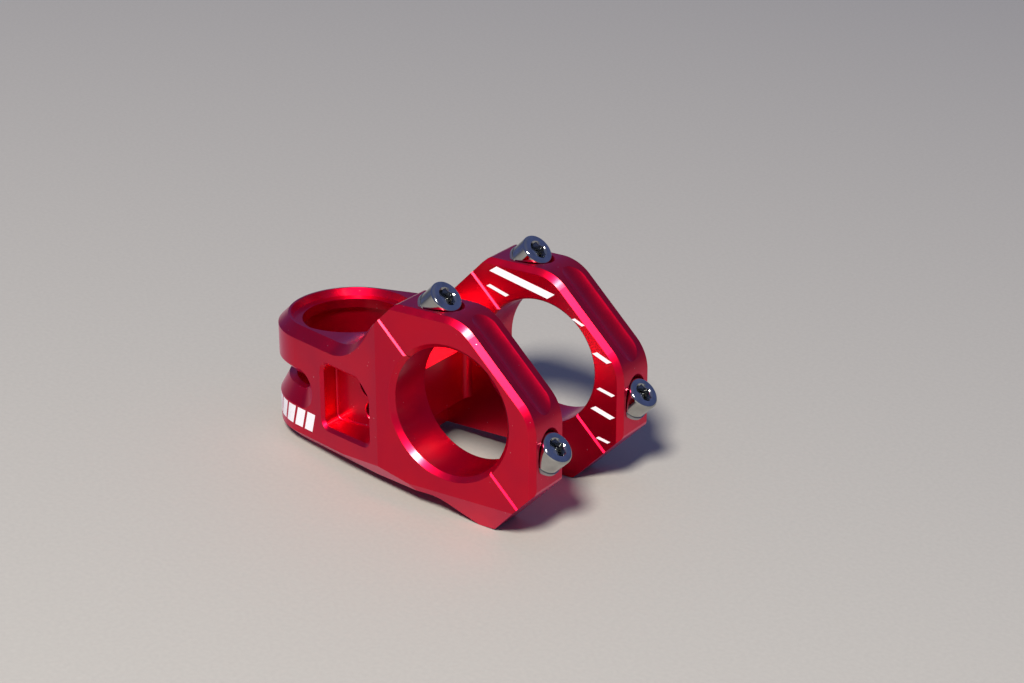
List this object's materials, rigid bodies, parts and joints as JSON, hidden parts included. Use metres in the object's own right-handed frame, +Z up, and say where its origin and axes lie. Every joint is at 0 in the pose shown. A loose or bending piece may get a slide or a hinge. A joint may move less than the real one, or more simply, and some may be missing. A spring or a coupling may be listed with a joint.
{
  "type": "handlebar stem",
  "caption": "Machined bicycle handlebar stem: round steerer clamp, open-centre body with two arms, and separate diagonal-split bar caps held by cap screws.",
  "frame": {"origin": "on the steerer axis, level with the bottom face of the steerer clamp", "axes": "+X forward from the steerer to the handlebar, +Y to the rider's left along the handlebar, +Z up the steerer"},
  "size_m": [0.0942, 0.0514, 0.0573],
  "materials": {
    "anodised_body": "deep red anodised, machined",
    "anodised_caps": "deep red anodised, machined",
    "bolts": "polished",
    "washers": "satin"
  },
  "bodies": {
    "stem": {"stem_body": "anodised_body"},
    "right_cap": {"right_cap": "anodised_caps", "right_upper_washer": "washers", "right_lower_washer": "washers"},
    "right_upper_bolt": {"right_upper_bolt": "bolts"},
    "right_lower_bolt": {"right_lower_bolt": "bolts"},
    "left_cap": {"left_cap": "anodised_caps", "left_upper_washer": "washers", "left_lower_washer": "washers"},
    "left_upper_bolt": {"left_upper_bolt": "bolts"},
    "left_lower_bolt": {"left_lower_bolt": "bolts"},
    "upper_pinch_washer": {"upper_pinch_washer": "washers"},
    "upper_pinch_bolt": {"upper_pinch_bolt": "bolts"},
    "lower_pinch_washer": {"lower_pinch_washer": "washers"},
    "lower_pinch_bolt": {"lower_pinch_bolt": "bolts"}
  },
  "joints": [
    {"name": "right_cap_lift", "type": "slide", "parent": "stem", "child": "right_cap", "axis": [0.7071, 0, 0.7071], "range_m": [0, 0.012]},
    {"name": "right_upper_bolt_turn", "type": "hinge", "parent": "right_cap", "child": "right_upper_bolt", "pos_m": [0.03922, -0.01903, 0.04513], "axis": [0.7071, 0, 0.7071], "range_deg": [0, 5400]},
    {"name": "right_lower_bolt_turn", "type": "hinge", "parent": "right_cap", "child": "right_lower_bolt", "pos_m": [0.06963, -0.01903, 0.01472], "axis": [0.7071, 0, 0.7071], "range_deg": [0, 5400]},
    {"name": "left_cap_lift", "type": "slide", "parent": "stem", "child": "left_cap", "axis": [0.7071, 0, 0.7071], "range_m": [0, 0.012]},
    {"name": "left_upper_bolt_turn", "type": "hinge", "parent": "left_cap", "child": "left_upper_bolt", "pos_m": [0.03922, 0.01903, 0.04513], "axis": [0.7071, 0, 0.7071], "range_deg": [0, 5400]},
    {"name": "left_lower_bolt_turn", "type": "hinge", "parent": "left_cap", "child": "left_lower_bolt", "pos_m": [0.06963, 0.01903, 0.01472], "axis": [0.7071, 0, 0.7071], "range_deg": [0, 5400]},
    {"name": "upper_pinch_bolt_out", "type": "slide", "parent": "stem", "child": "upper_pinch_washer", "axis": [0, -1, 0], "range_m": [0, 0.01]},
    {"name": "upper_pinch_bolt_turn", "type": "hinge", "parent": "upper_pinch_washer", "child": "upper_pinch_bolt", "pos_m": [0.0175, -0.0099, 0.0192], "axis": [0, -1, 0], "range_deg": [0, 4500]},
    {"name": "lower_pinch_bolt_out", "type": "slide", "parent": "stem", "child": "lower_pinch_washer", "axis": [0, 1, 0], "range_m": [0, 0.01]},
    {"name": "lower_pinch_bolt_turn", "type": "hinge", "parent": "lower_pinch_washer", "child": "lower_pinch_bolt", "pos_m": [0.0175, 0.0099, 0.01205], "axis": [0, 1, 0], "range_deg": [0, 4500]}
  ],
  "couplings": [
    {"joint": "right_upper_bolt_turn", "follows": "right_cap_lift", "rad_per_m": 7854},
    {"joint": "right_lower_bolt_turn", "follows": "right_cap_lift", "rad_per_m": 7854},
    {"joint": "left_upper_bolt_turn", "follows": "left_cap_lift", "rad_per_m": 7854},
    {"joint": "left_lower_bolt_turn", "follows": "left_cap_lift", "rad_per_m": 7854},
    {"joint": "upper_pinch_bolt_turn", "follows": "upper_pinch_bolt_out", "rad_per_m": 7854},
    {"joint": "lower_pinch_bolt_turn", "follows": "lower_pinch_bolt_out", "rad_per_m": 7854}
  ]
}
